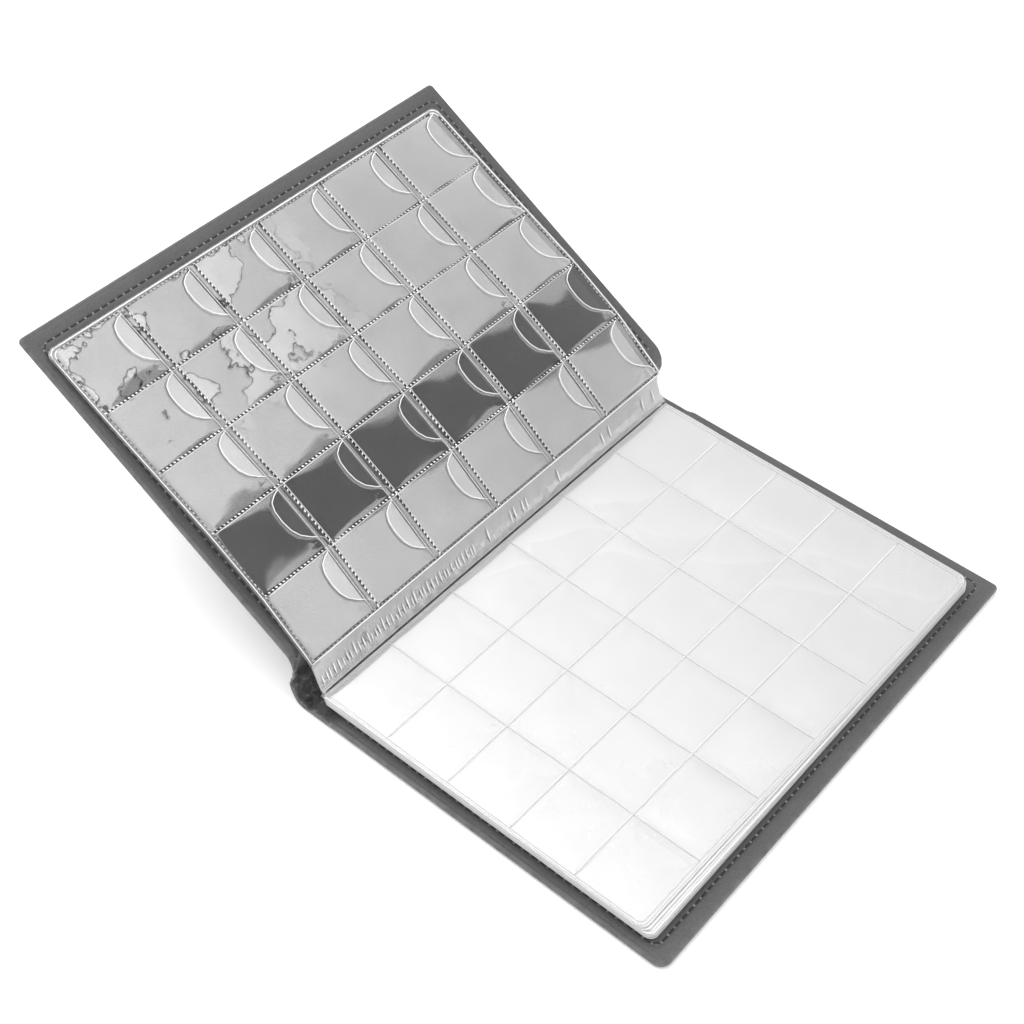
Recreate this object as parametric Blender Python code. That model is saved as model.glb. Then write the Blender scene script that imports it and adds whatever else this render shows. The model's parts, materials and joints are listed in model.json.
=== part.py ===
"""Coin album, open at its first leaf: two stitched leatherette covers joined by a soft spine,
and ten clear pocket leaves. Metres, +Z up. The back cover lies on the table, and the front
cover stands open beside it. X runs from the spine to the back cover's outer edge, Y from the
tail edge to the head edge, and the origin is the middle of the back cover's underside."""

import math

import bmesh
import bpy

# Covers: an outer skin with a turned-in rim, a board, an inner lining and a line of thread.
COVER_WIDTH = 0.165
COVER_HEIGHT = 0.246
COVER_THICKNESS = 0.003
CORNER_RADIUS = 0.004
SKIN_THICKNESS = 0.0006
LAYER_GAP = 0.0003
OVERCUT = 0.001
BOARD_THICKNESS = 0.0012
RIM_WIDTH = 0.0064
RECESS_START = 0.002
LINING_START = 0.0026
THREAD_INSET = 0.007
THREAD_WIDTH = 0.0006
THREAD_CORNER = 0.0027
BOARD_INSET = 0.0093

# Spine: a flat half that lies with the back cover, and a half that stands up. The standing half
# bulges outward near its foot and hollows a little below the front hinge.
SPINE_FLAT = 0.018
SPINE_FLAT_THICKNESS = 0.0015
SPINE_SKIN = 0.0008
SPINE_LINING = 0.0004
SPINE_BULGE = 0.0031
SPINE_BULGE_END = 0.74
SPINE_HOLLOW = 0.0006
SPINE_HOLLOW_START = 0.55
FOLD_GAP = 0.0006
FRONT_HINGE_LEAN = -0.0048
FRONT_HINGE_RISE = 0.0252
FRONT_COVER_TILT = math.radians(29.0)

# Leaves: a base film with six pocket strips, five pockets to a strip.
LEAF_COUNT = 10
COLUMNS = 5
ROWS = 6
POCKET_WIDTH = 0.032
POCKET_HEIGHT = 0.038
FILM = 0.00015
FILM_GAP = 0.0002
LEAF_PITCH = 0.0008
INNER_MARGIN = 0.0015
OUTER_MARGIN = 0.0022
END_MARGIN = 0.0022
LEAF_CORNER = 0.004
LEAF_SHIFT = -0.0027
LEAF_START = 0.0098
FLAP = 0.0033
STRIP_TOP = 0.0042
THUMB_DIP = 0.0085
SAMPLES_PER_POCKET = 6

# Binding strip: a low block with a thin upright lip on its inner side.
BINDING_START = 0.0040
BINDING_END = 0.0090
BINDING_LIP = 0.0007
BINDING_HEIGHT = 0.0082
BINDING_SHOULDER = 0.0010

# Places that the sizes above give.
BOARD_EDGE_X = -COVER_WIDTH / 2
FOLD_X = BOARD_EDGE_X - SPINE_FLAT
FOLD_Z = SKIN_THICKNESS
HINGE_X = FOLD_X + FRONT_HINGE_LEAN
HINGE_Z = FOLD_Z + FRONT_HINGE_RISE
LEAF_WIDTH = INNER_MARGIN + COLUMNS * POCKET_WIDTH + OUTER_MARGIN
LEAF_HEIGHT = ROWS * POCKET_HEIGHT + 2 * END_MARGIN
STACK_X = FOLD_X + LEAF_START
STACK_Z = COVER_THICKNESS + LAYER_GAP


def clear_scene():
    for obj in list(bpy.data.objects):
        bpy.data.objects.remove(obj, do_unlink=True)


def material(name, colour, roughness, metallic=0.0, alpha=1.0):
    made = bpy.data.materials.new(name)
    made.use_nodes = True
    shader = made.node_tree.nodes["Principled BSDF"]
    shader.inputs["Base Color"].default_value = (*colour, 1.0)
    shader.inputs["Roughness"].default_value = roughness
    shader.inputs["Metallic"].default_value = metallic
    shader.inputs["Alpha"].default_value = alpha
    return made


def leatherette():
    return material("dark_leatherette", (0.115, 0.115, 0.118), 0.55)


def greyboard():
    return material("greyboard", (0.30, 0.29, 0.27), 0.9)


def stitching():
    return material("dark_thread", (0.035, 0.035, 0.037), 0.7)


def clear_film():
    return material("clear_film", (0.86, 0.87, 0.88), 0.12, alpha=0.35)


def new_object(name, bm, made_of, parent=None):
    bmesh.ops.recalc_face_normals(bm, faces=bm.faces)
    mesh = bpy.data.meshes.new(name)
    bm.to_mesh(mesh)
    bm.free()
    mesh.materials.append(made_of)
    obj = bpy.data.objects.new(name, mesh)
    bpy.context.scene.collection.objects.link(obj)
    obj.parent = parent
    return obj


def rounded_rectangle(x0, x1, y0, y1, radius, round_left=True, steps=4):
    """Corners of a rectangle, anticlockwise. The left pair stays square where round_left is off."""
    points = []
    corners = ((x1, y0, -90), (x1, y1, 0), (x0, y1, 90), (x0, y0, 180))
    for x, y, start in corners:
        if x == x0 and not round_left:
            points.append((x, y))
            continue
        cx = x - math.copysign(radius, x - (x0 + x1) / 2)
        cy = y - math.copysign(radius, y - (y0 + y1) / 2)
        for i in range(steps + 1):
            a = math.radians(start + 90 * i / steps)
            points.append((cx + radius * math.cos(a), cy + radius * math.sin(a)))
    return points


def rectangle(x0, x1, y0, y1):
    return [(x0, y0), (x1, y0), (x1, y1), (x0, y1)]


def plate(outline, z0, z1):
    """A flat sheet with this outline, between two heights."""
    bm = bmesh.new()
    verts = [bm.verts.new((x, y, z0)) for x, y in outline]
    bm.faces.new(verts)
    bmesh.ops.triangulate(bm, faces=bm.faces[:])
    lifted = bmesh.ops.extrude_face_region(bm, geom=bm.faces[:])["geom"]
    for item in lifted:
        if isinstance(item, bmesh.types.BMVert):
            item.co.z = z1
    return bm


def prism(profile, y0, y1):
    """A closed (x, z) profile run straight from y0 to y1."""
    bm = bmesh.new()
    near = [bm.verts.new((x, y0, z)) for x, z in profile]
    far = [bm.verts.new((x, y1, z)) for x, z in profile]
    count = len(profile)
    for i in range(count):
        j = (i + 1) % count
        bm.faces.new((near[i], near[j], far[j], far[i]))
    ends = [bm.faces.new(near[::-1]), bm.faces.new(far)]
    bmesh.ops.triangulate(bm, faces=ends)
    return bm


def cutter(name, x0, x1, y0, y1, z0, z1, parent):
    tool = new_object(name, plate(rectangle(x0, x1, y0, y1), z0, z1), greyboard(), parent)
    tool.hide_render = True
    tool.display_type = "WIRE"
    return tool


def cut(obj, tool):
    boolean = obj.modifiers.new("cut_" + tool.name, "BOOLEAN")
    boolean.operation = "DIFFERENCE"
    boolean.solver = "EXACT"
    boolean.object = tool


def cover(name, hinge, flat_width, parts):
    """One cover lying flat in its own frame: x runs from its inner edge, z up through its thickness.
    flat_width is the strip of soft spine that the skin carries beyond the board."""
    half = COVER_HEIGHT / 2
    inside = half - RIM_WIDTH
    outer = COVER_WIDTH
    start = FOLD_GAP - flat_width
    outline = rounded_rectangle(start, outer, -half, half, CORNER_RADIUS, round_left=False)
    skin = new_object(name + "_skin", plate(outline, 0, COVER_THICKNESS), parts["skin"], hinge)
    above = COVER_THICKNESS + OVERCUT
    recess = cutter(
        name + "_recess", RECESS_START, outer - RIM_WIDTH, -inside, inside,
        SKIN_THICKNESS, above, hinge,
    )
    cut(skin, recess)
    if flat_width:
        step = cutter(
            name + "_step", start - OVERCUT, 0.0, -half - OVERCUT, half + OVERCUT,
            SPINE_FLAT_THICKNESS, above, hinge,
        )
        cut(skin, step)
    board_z = SKIN_THICKNESS + LAYER_GAP
    edge = half - BOARD_INSET
    board = rectangle(LINING_START, outer - BOARD_INSET, -edge, edge)
    new_object(
        name + "_board", plate(board, board_z, board_z + BOARD_THICKNESS), parts["board"], hinge
    )
    inset = THREAD_INSET + THREAD_WIDTH / 2 + LAYER_GAP
    lining = rounded_rectangle(
        LINING_START, outer - inset, inset - half, half - inset, THREAD_CORNER, round_left=False
    )
    lining_z = board_z + BOARD_THICKNESS + LAYER_GAP
    new_object(name + "_lining", plate(lining, lining_z, COVER_THICKNESS), parts["skin"], hinge)
    new_object(name + "_thread", thread(outer, half), parts["thread"], hinge)


def thread(outer, half):
    """The seam's thread, a U that runs along the tail, outer and head edges in its own groove."""
    near = THREAD_INSET - THREAD_WIDTH / 2
    far = THREAD_INSET + THREAD_WIDTH / 2
    z0 = SKIN_THICKNESS + 2 * LAYER_GAP + BOARD_THICKNESS
    inner_corner = THREAD_CORNER - THREAD_WIDTH
    loops = [
        rounded_rectangle(LINING_START, outer - inset, inset - half, half - inset, radius, False)
        for inset, radius in ((near, THREAD_CORNER), (far, inner_corner))
    ]
    # Each loop starts at the outer tail corner and ends with the square one at the inner edge.
    sides = [[loop[-1], *loop[:-1]] for loop in loops]
    bm = bmesh.new()
    sections = []
    for (ax, ay), (bx, by) in zip(*sides):
        corners = ((ax, ay, z0), (bx, by, z0), (bx, by, COVER_THICKNESS), (ax, ay, COVER_THICKNESS))
        sections.append([bm.verts.new(corner) for corner in corners])
    join_sections(bm, sections)
    return bm


def join_sections(bm, sections):
    """Faces between four-cornered sections in a row, with both ends closed."""
    for a, b in zip(sections, sections[1:]):
        for i in range(4):
            j = (i + 1) % 4
            bm.faces.new((a[i], a[j], b[j], b[i]))
    bm.faces.new(sections[0])
    bm.faces.new(sections[-1][::-1])


def spine_face(t):
    """The standing half's outer face, from its foot (t = 0) to the front hinge (t = 1)."""
    foot_x, foot_z = FOLD_X - SPINE_SKIN, 0.0
    top_x, top_z = HINGE_X + SPINE_SKIN / 2, HINGE_Z - FOLD_GAP
    x = foot_x + (top_x - foot_x) * t
    if t < SPINE_BULGE_END:
        x -= SPINE_BULGE * math.sin(math.pi * t / SPINE_BULGE_END) ** 2
    if t > SPINE_HOLLOW_START:
        x += SPINE_HOLLOW * math.sin(math.pi * (t - SPINE_HOLLOW_START) / (1 - SPINE_HOLLOW_START)) ** 2
    return x, foot_z + (top_z - foot_z) * t


def spine_layer(offset, thickness, first, last, steps=12):
    """A sheet that follows the standing half, set in from its outer face by offset."""
    rows = []
    for i in range(steps + 1):
        t = first + (last - first) * i / steps
        x, z = spine_face(t)
        ax, az = spine_face(max(0.0, t - 0.02))
        bx, bz = spine_face(min(1.0, t + 0.02))
        length = math.hypot(bx - ax, bz - az)
        nx, nz = (bz - az) / length, -(bx - ax) / length
        rows.append((x + nx * offset, z + nz * offset, nx, nz))
    outer = [(x, z) for x, z, nx, nz in rows]
    inner = [(x + nx * thickness, z + nz * thickness) for x, z, nx, nz in rows]
    return prism(outer + inner[::-1], -COVER_HEIGHT / 2, COVER_HEIGHT / 2)


def binding_profile():
    """The wedge where the inner margins of all ten leaves are welded to the spine."""
    z0 = SPINE_FLAT_THICKNESS + LAYER_GAP
    lip_x = FOLD_X + BINDING_END - BINDING_SHOULDER
    return [
        (FOLD_X + BINDING_START, z0),
        (FOLD_X + BINDING_END, z0),
        (lip_x, BINDING_HEIGHT),
        (lip_x - BINDING_LIP, BINDING_HEIGHT),
        (FOLD_X + BINDING_START, z0 + BINDING_SHOULDER),
    ]


def strip_top(u):
    """How far the mouth of a pocket strip lies above its row's weld, at u along the strip."""
    phase = (u % POCKET_WIDTH) / POCKET_WIDTH
    return POCKET_HEIGHT - STRIP_TOP - THUMB_DIP * math.sin(math.pi * phase) ** 2


def leaf_surface(profile):
    """A function from (u, v, lift) on a flat leaf to a point on a leaf bent along the profile.
    profile holds (u, x, z) where the leaf changes direction; lift is along its upper normal."""

    def at(u, v, lift):
        for (u0, x0, z0), (u1, x1, z1) in zip(profile, profile[1:]):
            if u <= u1 or (u1, x1, z1) == profile[-1]:
                break
        s = (u - u0) / (u1 - u0)
        run, rise = x1 - x0, z1 - z0
        length = math.hypot(run, rise)
        side = math.copysign(1.0, run)
        nx, nz = -rise / length * side, run / length * side
        return (x0 + run * s + nx * lift, v, z0 + rise * s + nz * lift)

    return at


def ribbon(at, us, low, high, lift, thickness):
    """A film between low(u) and high(u), sampled at us and laid on the surface at."""
    bm = bmesh.new()
    columns = []
    for u in us:
        corners = (
            (low(u), lift), (high(u), lift), (high(u), lift + thickness), (low(u), lift + thickness),
        )
        columns.append([bm.verts.new(at(u, v, w)) for v, w in corners])
    join_sections(bm, columns)
    return bm


def base_film(at, lift):
    """The full sheet behind the pockets, with its outer corners rounded."""
    half = LEAF_HEIGHT / 2
    straight = LEAF_WIDTH - LEAF_CORNER
    steps = 4
    us = [0.0, *[INNER_MARGIN + POCKET_WIDTH * i for i in range(COLUMNS)], straight]
    us += [straight + LEAF_CORNER * math.sin(math.pi / 2 * i / steps) for i in range(1, steps + 1)]

    def reach(u):
        past = max(0.0, u - straight)
        return half - LEAF_CORNER + math.sqrt(max(0.0, LEAF_CORNER**2 - past**2))

    return ribbon(at, us, lambda u: LEAF_SHIFT - reach(u), lambda u: LEAF_SHIFT + reach(u), lift, FILM)


def pocket_strip(at, row, lift):
    """One row of five pockets: its lower edge hangs as a flap over the row below, and its
    upper edge dips in a thumb notch at each pocket."""
    weld = LEAF_SHIFT - ROWS * POCKET_HEIGHT / 2 + row * POCKET_HEIGHT
    low = weld - (FLAP if row else END_MARGIN)
    count = COLUMNS * SAMPLES_PER_POCKET
    us = [INNER_MARGIN + POCKET_WIDTH * COLUMNS * i / count for i in range(count + 1)]
    return ribbon(
        at, us, lambda u: low, lambda u: weld + strip_top(u - INNER_MARGIN), lift, FILM
    )


def pocket_sheet(x0, z0):
    """All six strips of a closed leaf in one sheet, open at each row's mouth."""
    y0 = LEAF_SHIFT - LEAF_HEIGHT / 2
    side = INNER_MARGIN + OUTER_MARGIN / 2
    xs = (x0, x0 + side, x0 + COLUMNS * POCKET_WIDTH, x0 + LEAF_WIDTH - LEAF_CORNER / 2)
    ys = [y0]
    for row in range(ROWS):
        mouth = y0 + END_MARGIN + (row + 1) * POCKET_HEIGHT - FLAP
        ys += [mouth - THUMB_DIP / 2, mouth]
    ys.append(y0 + LEAF_HEIGHT)
    bm = bmesh.new()
    grid = [[bm.verts.new((x, y, z0)) for x in xs] for y in ys]
    for j in range(len(ys) - 1):
        for i in range(len(xs) - 1):
            if i == 1 and j % 2 == 1:
                continue
            bm.faces.new((grid[j][i], grid[j][i + 1], grid[j + 1][i + 1], grid[j + 1][i]))
    lifted = bmesh.ops.extrude_face_region(bm, geom=bm.faces[:])["geom"]
    for item in lifted:
        if isinstance(item, bmesh.types.BMVert):
            item.co.z += FILM
    return bm


def open_leaf_profile():
    """The turned leaf, bowed over the front cover. Each step is (share of the way along the
    leaf from its inner edge, distance from the hinge along the cover, height over its outer face)."""
    along, up = math.cos(FRONT_COVER_TILT), math.sin(FRONT_COVER_TILT)
    rests = (
        (0.0, -0.0084, 0.0027),
        (INNER_MARGIN, -0.0071, 0.0034),
        (INNER_MARGIN + POCKET_WIDTH, 0.0243, 0.0086),
        (INNER_MARGIN + POCKET_WIDTH * 2, 0.0562, 0.0081),
        (INNER_MARGIN + POCKET_WIDTH * 3, 0.0882, 0.0066),
        (INNER_MARGIN + POCKET_WIDTH * 4, 0.1201, 0.0053),
        (INNER_MARGIN + POCKET_WIDTH * 5, 0.1521, 0.0045),
        (LEAF_WIDTH, 0.1543, 0.0044),
    )
    return [
        (u, HINGE_X - reach * along + lift * up, HINGE_Z + reach * up + lift * along)
        for u, reach, lift in rests
    ]


def build_covers(parts):
    back = bpy.data.objects.new("back_cover_frame", None)
    back.location = (BOARD_EDGE_X, 0, 0)
    bpy.context.scene.collection.objects.link(back)
    cover("back_cover", back, SPINE_FLAT, parts)

    front = bpy.data.objects.new("front_hinge_axis", None)
    front.location = (HINGE_X, 0, HINGE_Z)
    # Turned over so that the skin's outer face looks down and its width runs away from the spine.
    front.rotation_euler = (0, FRONT_COVER_TILT, 0)
    bpy.context.scene.collection.objects.link(front)
    flip = bpy.data.objects.new("front_cover_frame", None)
    flip.rotation_euler = (0, 0, math.pi)
    flip.parent = front
    bpy.context.scene.collection.objects.link(flip)
    cover("front_cover", flip, 0.0, parts)


def build_spine(parts):
    new_object("spine_skin", spine_layer(0.0, SPINE_SKIN, 0.0, 1.0), parts["skin"])
    inset = SPINE_SKIN + LAYER_GAP
    new_object("spine_lining", spine_layer(inset, SPINE_LINING, 0.12, 0.95), parts["skin"])
    half = LEAF_HEIGHT / 2
    new_object(
        "binding_strip", prism(binding_profile(), LEAF_SHIFT - half, LEAF_SHIFT + half), parts["film"]
    )


def build_leaves(parts):
    film = parts["film"]
    turned = leaf_surface(open_leaf_profile())
    new_object("page_01_base", base_film(turned, 0.0), film)
    for row in range(ROWS):
        strip = pocket_strip(turned, row, FILM + FILM_GAP)
        new_object(f"page_01_pocket_row_{row + 1}", strip, film)

    # Leaves 2 to 10 lie face down on the back cover, leaf 10 at the bottom.
    for number in range(2, LEAF_COUNT + 1):
        z = STACK_Z + (LEAF_COUNT - number) * LEAF_PITCH
        flat = leaf_surface([(0.0, STACK_X, z), (LEAF_WIDTH, STACK_X + LEAF_WIDTH, z)])
        name = f"page_{number:02d}"
        new_object(name + "_base", base_film(flat, FILM + FILM_GAP), film)
        if number == 2:
            for row in range(ROWS):
                new_object(f"{name}_pocket_row_{row + 1}", pocket_strip(flat, row, 0.0), film)
        else:
            new_object(name + "_pockets", pocket_sheet(STACK_X, z), film)


def main():
    clear_scene()
    parts = {
        "skin": leatherette(),
        "board": greyboard(),
        "thread": stitching(),
        "film": clear_film(),
    }
    build_covers(parts)
    build_spine(parts)
    build_leaves(parts)


main()
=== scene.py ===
"""Looks of the coin album: leatherette covers on one soft wrap, and clear pocket leaves.

Metres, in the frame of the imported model. u runs along a leaf from its inner edge, and v runs
from the tail edge to the head edge. reach runs along a cover from the spine."""

import json
import math

import bmesh
import bpy
import numpy as np
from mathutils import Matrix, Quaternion, Vector, noise


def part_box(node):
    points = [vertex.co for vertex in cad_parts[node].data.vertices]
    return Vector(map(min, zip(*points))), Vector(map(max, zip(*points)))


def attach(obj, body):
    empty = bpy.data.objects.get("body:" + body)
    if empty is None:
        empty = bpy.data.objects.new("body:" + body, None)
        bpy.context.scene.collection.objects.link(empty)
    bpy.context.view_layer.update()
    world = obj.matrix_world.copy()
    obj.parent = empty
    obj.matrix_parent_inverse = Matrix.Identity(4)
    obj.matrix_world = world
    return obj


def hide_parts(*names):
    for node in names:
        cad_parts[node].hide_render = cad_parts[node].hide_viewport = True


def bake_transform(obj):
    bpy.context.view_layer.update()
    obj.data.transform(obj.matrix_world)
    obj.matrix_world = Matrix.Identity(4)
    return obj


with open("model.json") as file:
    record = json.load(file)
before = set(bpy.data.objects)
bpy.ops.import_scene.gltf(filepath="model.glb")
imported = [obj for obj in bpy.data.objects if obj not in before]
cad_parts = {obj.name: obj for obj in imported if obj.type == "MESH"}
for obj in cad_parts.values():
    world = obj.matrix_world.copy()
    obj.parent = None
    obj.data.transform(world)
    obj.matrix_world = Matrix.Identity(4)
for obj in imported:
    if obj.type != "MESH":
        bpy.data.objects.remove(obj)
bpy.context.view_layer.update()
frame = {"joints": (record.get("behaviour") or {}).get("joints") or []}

MM = 0.001
JOINTS = {joint["name"]: joint for joint in frame["joints"]}
FOLD_X, _, FOLD_Z = JOINTS["spine_hinge"]["pos_m"]
HINGE_X, _, HINGE_Z = JOINTS["front_cover_hinge"]["pos_m"]
COVER_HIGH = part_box("back_cover_skin")[1]
LEAF_LOW, LEAF_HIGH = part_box("page_02_base")

# Covers. The insets and radii are measured from a cover's edges, over its face.
TILT = math.radians(29.0)
OUTER_X = COVER_HIGH.x
COVER_WIDTH = 2 * OUTER_X
HALF_HEIGHT = COVER_HIGH.y
HALF_THICKNESS = COVER_HIGH.z / 2
CORNER_RADIUS = 2.2 * MM
TAIL_CORNER_RADIUS = 5.0 * MM
EDGE_ROLL = 1.3 * MM
SEAM_INSET = 7.2 * MM
END_SEAM_INSET = 5.6 * MM
SEAM_PITCH = 4.1 * MM
SEAM_DEPTH = 0.24 * MM
SEAM_TURN = 2.7 * MM
THREAD_RADIUS = 0.42 * MM
SPINE_HALF = 0.68 * MM

# Leaves.
COLUMNS = 5
ROWS = 6
POCKET_WIDTH = 32 * MM
POCKET_HEIGHT = 38 * MM
INNER_MARGIN = 1.5 * MM
LEAF_WIDTH = LEAF_HIGH.x - LEAF_LOW.x
LEAF_HALF = (LEAF_HIGH.y - LEAF_LOW.y) / 2
LEAF_SHIFT = (LEAF_HIGH.y + LEAF_LOW.y) / 2
LEAF_CORNER = 4 * MM
FIRST_WELD = LEAF_SHIFT - ROWS * POCKET_HEIGHT / 2
FLAP = 3.3 * MM
# How far a pocket's mouth dips, in mm, at places across it from 0 to 1.
THUMB_NOTCH = (
    (0, 0.4), (0.09, 0.4), (0.15, 1.3), (0.22, 5.4), (0.32, 8.8), (0.44, 10.6), (0.59, 11.2),
    (0.75, 10.8), (0.86, 9.3), (0.92, 6.4), (0.97, 2.0), (1.0, 0.4),
)
FILM_THICKNESS = 0.14 * MM
FILM_GAP = 0.28 * MM
TUCKED_GAP = 0.18 * MM
ROPE_WIDTH = 1.7 * MM
DASH_GAP = 1.0 * MM
STACK_X = LEAF_LOW.x
STACK_BOTTOM = COVER_HIGH.z + 0.6 * MM
STACK_TOP = LEAF_HIGH.z + 0.2 * MM
BOTTOM_LEAF = 10

# Studio.
FLOOR_Z = -0.4 * MM
FLOOR_REACH = 6.0
FLAG_FROM, FLAG_TO, FLAG_RAGGED = 0.365, 0.525, 0.11
FLAG_RADIANCE = 0.04
CAMERA_LENS = 64.09
CAMERA_PLACE = (0.23414, -0.42884, 0.59116)
CAMERA_AZIMUTH, CAMERA_ELEVATION, CAMERA_ROLL = map(math.radians, (-52.743, 46.522, 3.405))


# ---------------------------------------------------------------- materials


class Nodes:
    """A material's node tree, with a short way to add and join nodes."""

    def __init__(self, name):
        self.material = bpy.data.materials.new(name)
        self.material.use_nodes = True
        self.tree = self.material.node_tree
        self.shader = self.tree.nodes["Principled BSDF"]
        self.output = self.tree.nodes["Material Output"]
        self.place = self.add("ShaderNodeTexCoord").outputs["Object"]

    def add(self, kind, **values):
        node = self.tree.nodes.new(kind)
        for key, value in values.items():
            if hasattr(node, key):
                setattr(node, key, value)
            else:
                node.inputs[key.replace("_", " ")].default_value = value
        return node

    def join(self, source, target):
        self.tree.links.new(source, target)

    def noise(self, scale, detail=4.0, roughness=0.55):
        node = self.add("ShaderNodeTexNoise", Scale=scale, Detail=detail, Roughness=roughness)
        self.join(self.place, node.inputs["Vector"])
        return node.outputs["Fac"]

    def ramp(self, source, low, high, from_low=0.3, from_high=0.7):
        """source mapped from a band of values to a number between low and high."""
        node = self.add("ShaderNodeMapRange")
        for key, value in (
            ("From Min", from_low), ("From Max", from_high), ("To Min", low), ("To Max", high)
        ):
            node.inputs[key].default_value = value
        self.join(source, node.inputs["Value"])
        return node.outputs["Result"]

    def colours(self, source, low, high, from_low=0.3, from_high=0.7):
        node = self.add("ShaderNodeValToRGB")
        node.color_ramp.elements[0].position = from_low
        node.color_ramp.elements[0].color = (*low, 1)
        node.color_ramp.elements[1].position = from_high
        node.color_ramp.elements[1].color = (*high, 1)
        self.join(source, node.inputs["Fac"])
        return node.outputs["Color"]

    def math(self, operation, a, b):
        node = self.add("ShaderNodeMath", operation=operation)
        for value, socket in ((a, node.inputs[0]), (b, node.inputs[1])):
            if isinstance(value, (int, float)):
                socket.default_value = value
            else:
                self.join(value, socket)
        return node.outputs["Value"]

    def bump(self, heights):
        """Bumps in a chain. heights holds (height, distance in metres, strength)."""
        normal = None
        for height, distance, strength in heights:
            node = self.add("ShaderNodeBump", Distance=distance, Strength=strength)
            self.join(height, node.inputs["Height"])
            if normal:
                self.join(normal, node.inputs["Normal"])
            normal = node.outputs["Normal"]
        self.join(normal, self.shader.inputs["Normal"])


def leatherette():
    """Matt coated cloth with a fine pebble grain, a little polished where hands rub its edges, which shows
    as a lighter colour: partly wear and partly a painted sheen. The spine's folds have painted shade in
    their valleys and painted highlights on their crests.
    """
    m = Nodes("leatherette")
    grain = m.add("ShaderNodeTexVoronoi", feature="SMOOTH_F1", Scale=1300.0)
    warp = m.add("ShaderNodeTexNoise", Scale=420.0, Detail=3.0)
    m.join(m.place, warp.inputs["Vector"])
    bent = m.add("ShaderNodeVectorMath", operation="MULTIPLY_ADD")
    bent.inputs[1].default_value = (0.0009, 0.0009, 0.0009)
    m.join(warp.outputs["Color"], bent.inputs[0])
    m.join(m.place, bent.inputs[2])
    m.join(bent.outputs["Vector"], grain.inputs["Vector"])
    cells = grain.outputs["Distance"]
    cloth = m.noise(3200.0, 2.0)
    patches = m.noise(24.0, 5.0)
    base = m.colours(patches, (0.058, 0.058, 0.059), (0.074, 0.074, 0.075))
    pits = m.colours(cells, (0.72, 0.72, 0.72), (1.0, 1.0, 1.0), 0.05, 0.5)
    shade = m.add("ShaderNodeMixRGB", blend_type="MULTIPLY", Fac=1.0)
    m.join(base, shade.inputs["Color1"])
    m.join(pits, shade.inputs["Color2"])
    # Lighter grey mixed in along the edges, partly as wear and partly as a painted sheen, and on the crests
    # of the spine's folds as a painted highlight.
    worn = m.add("ShaderNodeMixRGB", blend_type="MIX")
    edge = m.add("ShaderNodeAttribute", attribute_name="edge")
    edge_wear_and_sheen = m.math("MULTIPLY", edge.outputs["Fac"], m.ramp(m.noise(260.0), 0.0, 0.55))
    folds = m.add("ShaderNodeTexNoise", Scale=230.0, Detail=4.0, Distortion=0.6)
    m.join(m.place, folds.inputs["Vector"])
    bend = m.add("ShaderNodeAttribute", attribute_name="bend").outputs["Fac"]
    fold = folds.outputs["Fac"]
    # Painted highlight: the crests of the spine's folds turn light grey.
    painted_crest_highlight = m.math("MULTIPLY", m.ramp(fold, 0.0, 0.8, 0.56, 0.68), bend)
    # Painted shade: the valleys of the spine's folds darken nearly to black.
    painted_valley_shade = m.math("MULTIPLY", m.ramp(fold, 0.75, 0.0, 0.34, 0.47), bend)
    m.join(m.math("MAXIMUM", edge_wear_and_sheen, painted_crest_highlight), worn.inputs["Fac"])
    m.join(shade.outputs["Color"], worn.inputs["Color1"])
    worn.inputs["Color2"].default_value = (0.20, 0.20, 0.205, 1)
    # Painted shade in the folds' valleys, mixed over the colour.
    fold_shade_mix = m.add("ShaderNodeMixRGB", blend_type="MIX")
    m.join(painted_valley_shade, fold_shade_mix.inputs["Fac"])
    m.join(worn.outputs["Color"], fold_shade_mix.inputs["Color1"])
    fold_shade_mix.inputs["Color2"].default_value = (0.012, 0.012, 0.012, 1)
    m.join(fold_shade_mix.outputs["Color"], m.shader.inputs["Base Color"])
    polish = m.math("MULTIPLY", bend, -0.2)
    m.join(m.math("ADD", m.ramp(m.noise(70.0), 0.46, 0.62), polish), m.shader.inputs["Roughness"])
    creased = m.math("MULTIPLY", fold, bend)
    m.bump((
        (creased, 0.0011, 1.0), (cells, 0.00016, 0.75), (cloth, 0.00004, 0.5),
        (m.noise(190.0, 3.0), 0.0002, 0.35),
    ))
    return m.material


def thread():
    """Twisted dark thread: slanting plies, painted darker in their grooves and lighter on their crowns as
    shade falls on them, and a light fuzz.
    """
    m = Nodes("thread")
    ply = m.add("ShaderNodeTexWave", wave_type="BANDS", bands_direction="DIAGONAL", Scale=900.0)
    m.join(m.place, ply.inputs["Vector"])
    # Painted shade: the ply bands that the bump sinks are darker, and those it raises are lighter.
    m.join(m.colours(ply.outputs["Fac"], (0.006, 0.006, 0.006), (0.026, 0.026, 0.027)),
           m.shader.inputs["Base Color"])
    m.join(m.ramp(m.noise(900.0), 0.4, 0.7), m.shader.inputs["Roughness"])
    m.bump(((ply.outputs["Fac"], 0.00012, 0.8), (m.noise(4000.0), 0.00004, 0.6)))
    return m.material


def needle_hole():
    """The puckered skin round a needle hole, glossy where the needle stretched it, and painted with light
    patches that stand for its glints.
    """
    m = Nodes("needle_hole")
    # Painted highlight: light grey patches for the glints round the hole.
    m.join(m.colours(m.noise(1500.0), (0.05, 0.05, 0.05), (0.42, 0.42, 0.42)),
           m.shader.inputs["Base Color"])
    m.join(m.ramp(m.noise(700.0), 0.12, 0.4), m.shader.inputs["Roughness"])
    m.bump(((m.noise(1800.0), 0.00008, 0.6),))
    return m.material


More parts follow.
